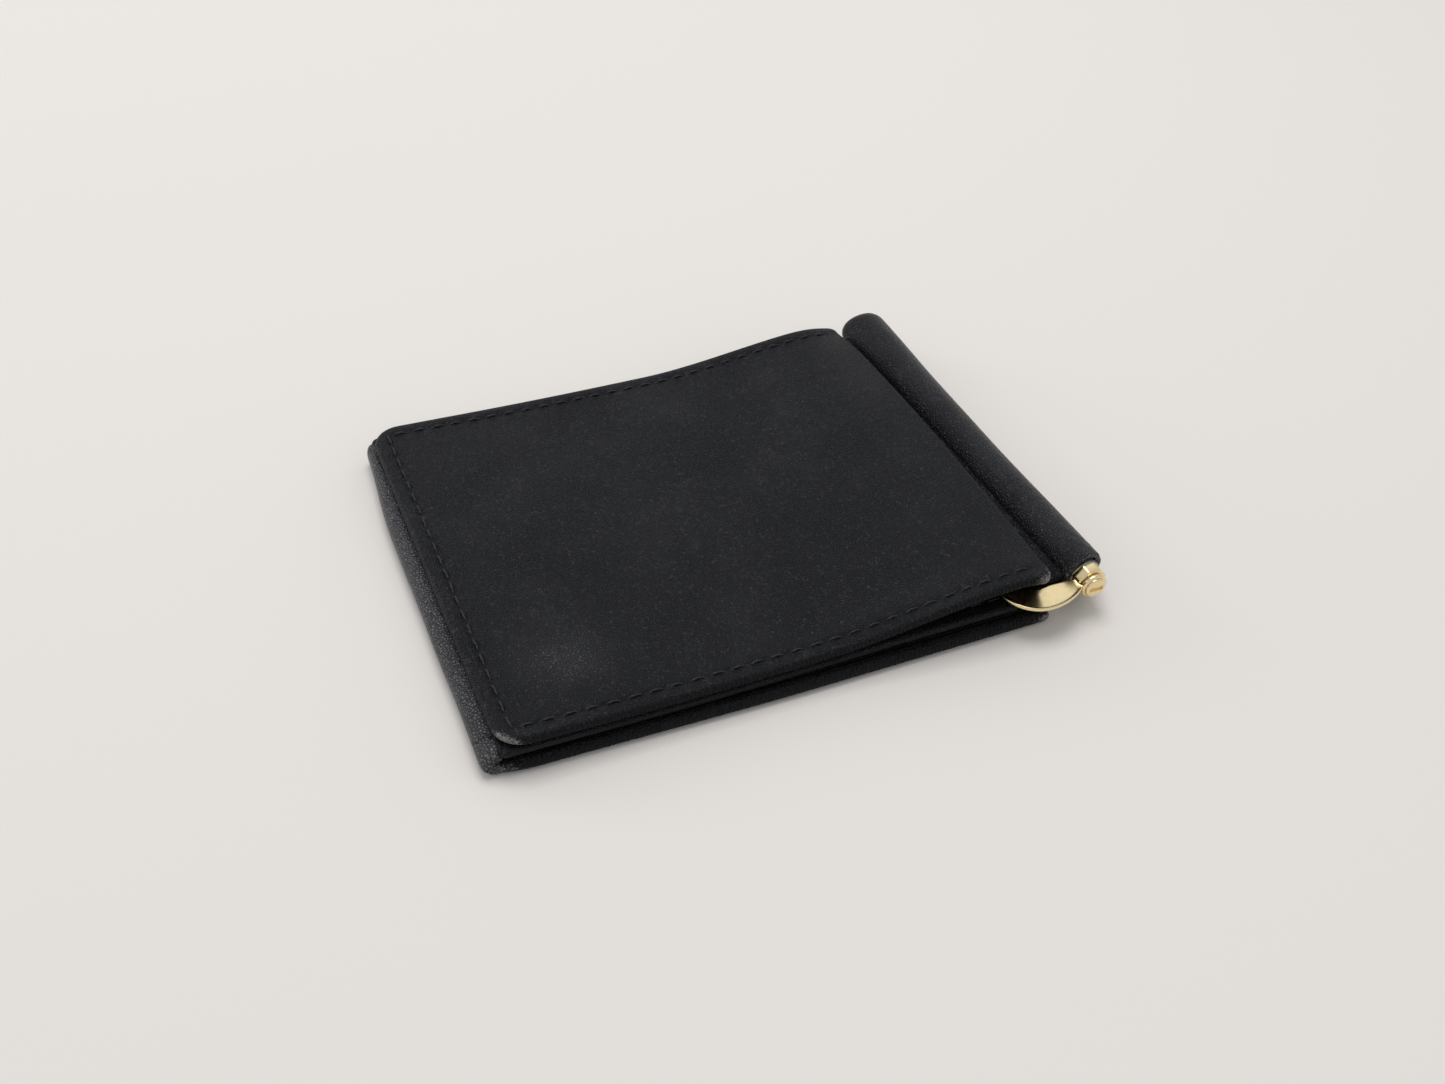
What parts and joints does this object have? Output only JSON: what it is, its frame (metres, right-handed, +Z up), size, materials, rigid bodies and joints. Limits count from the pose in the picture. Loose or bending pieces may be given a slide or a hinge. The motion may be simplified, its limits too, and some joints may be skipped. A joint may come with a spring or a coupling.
{
  "type": "money clip wallet",
  "caption": "Folding leather wallet with a leather-covered spring rail along one side and a flat gilt clip arm for banknotes.",
  "frame": {"origin": "on the table, under the middle of the closed wallet", "axes": "+X from the left fold to the leather roll, +Y along the roll away from the clip arm's knuckle, +Z up through the closed leaves"},
  "size_m": [0.1176, 0.0924, 0.011],
  "materials": {
    "outer_leather": "smooth black calf leather, softly polished by use",
    "lining_leather": "matte black split leather",
    "board": "fibre stiffening board",
    "thread": "waxed polyester thread",
    "gilt_brass": "polished pale gold plate on brass",
    "steel": "plain spring steel"
  },
  "bodies": {
    "card_leaf": {"card_leaf_outer_leather": "outer_leather", "card_leaf_lining": "lining_leather", "card_pocket_rear": "lining_leather", "card_pocket_middle": "lining_leather", "card_pocket_front": "lining_leather", "card_leaf_stitches": "thread", "fold_leather": "outer_leather"},
    "clip_leaf": {"clip_leaf_outer_leather": "outer_leather", "clip_leaf_board": "board", "clip_leaf_lining": "lining_leather", "clip_leaf_stitches": "thread", "clip_hinge_leather": "outer_leather"},
    "roll": {"roll_sleeve": "outer_leather", "roll_seam_stitches": "thread", "cover_hinge_leather": "outer_leather", "spring_rail": "steel", "rail_collar": "gilt_brass", "rail_end_plug": "steel", "friction_spring": "steel", "spring_rivets": "steel", "thrust_washer": "steel"},
    "cover": {"cover_outer_leather": "outer_leather", "cover_board": "board", "cover_lining": "lining_leather", "cover_stitches": "thread"},
    "arm": {"clip_arm": "gilt_brass", "arm_spindle": "steel", "knuckle_screw": "gilt_brass"}
  },
  "joints": [
    {"name": "leaf_fold", "type": "hinge", "parent": "card_leaf", "child": "clip_leaf", "pos_m": [-0.05822, 0, 0.00345], "axis": [0, -1, 0], "range_deg": [0, 177], "deforming": ["fold_leather"]},
    {"name": "roll_turn", "type": "hinge", "parent": "clip_leaf", "child": "roll", "pos_m": [0.04868, 0, 0.0044], "axis": [0, 1, 0], "range_deg": [0, 88], "deforming": ["clip_hinge_leather"]},
    {"name": "cover_open", "type": "hinge", "parent": "roll", "child": "cover", "pos_m": [0.04868, 0, 0.0072], "axis": [0, 1, 0], "range_deg": [0, 88], "deforming": ["cover_hinge_leather"]},
    {"name": "arm_pivot", "type": "hinge", "parent": "roll", "child": "arm", "pos_m": [0.05427, -0.0428, 0.0056], "axis": [0, 1, 0], "range_deg": [-44, 0]}
  ],
  "couplings": [
    {"joint": "roll_turn", "follows": "cover_open", "ratio": 1},
    {"joint": "arm_pivot", "follows": "cover_open", "ratio": -0.5}
  ]
}
